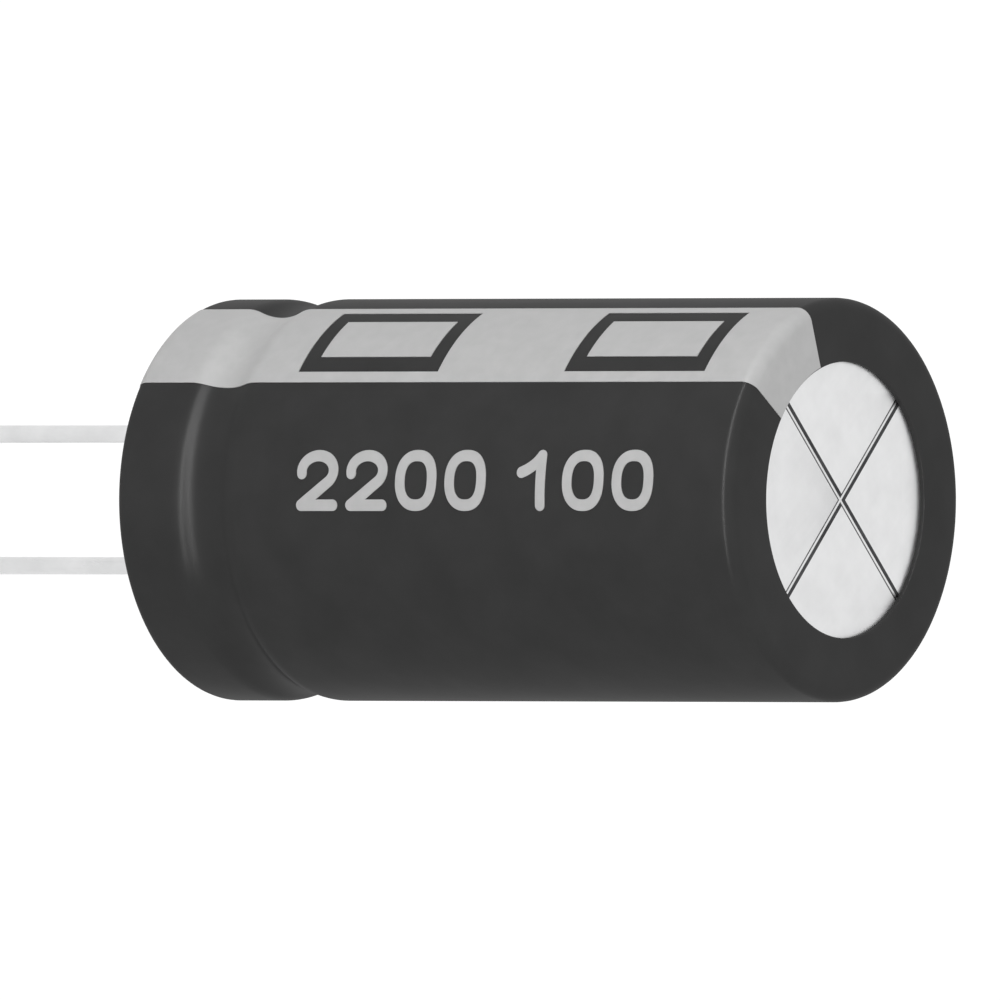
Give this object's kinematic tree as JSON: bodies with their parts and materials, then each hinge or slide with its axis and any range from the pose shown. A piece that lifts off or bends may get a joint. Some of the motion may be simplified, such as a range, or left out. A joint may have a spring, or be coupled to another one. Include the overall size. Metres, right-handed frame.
{
  "type": "electrolytic capacitor",
  "caption": "Radial aluminium electrolytic capacitor: sleeved can with a bead groove, a cross vent in its end, a light stripe down its negative side and wire leads from its base.",
  "frame": {"origin": "centre of the seating plane under the base, midway between the two leads", "axes": "+Z along the can's axis towards the vent end, with the leads running down; -X towards the negative lead and the printed stripe, +X towards the positive lead"},
  "size_m": [0.0184, 0.0184, 0.0542],
  "materials": {
    "sleeve": "shrunk plastic film, satin",
    "print": "printed ink",
    "can": "drawn aluminium, bare",
    "bung": "moulded rubber, matt",
    "lead": "tinned copper-clad steel wire",
    "tab": "pressed aluminium",
    "anode_foil": "etched and oxidised foil, matt grey",
    "cathode_foil": "etched foil, matt",
    "paper": "paper soaked in electrolyte",
    "tape": "adhesive tape"
  },
  "bodies": {
    "root": {"sleeve": "sleeve", "polarity_stripe": "print", "can": "can", "bung": "bung", "negative_lead": "lead", "positive_lead": "lead", "negative_tab": "tab", "positive_tab": "tab", "anode_foil": "anode_foil", "inner_separator": "paper", "cathode_foil": "cathode_foil", "outer_separator": "paper", "closing_tape": "tape"}
  },
  "joints": []
}
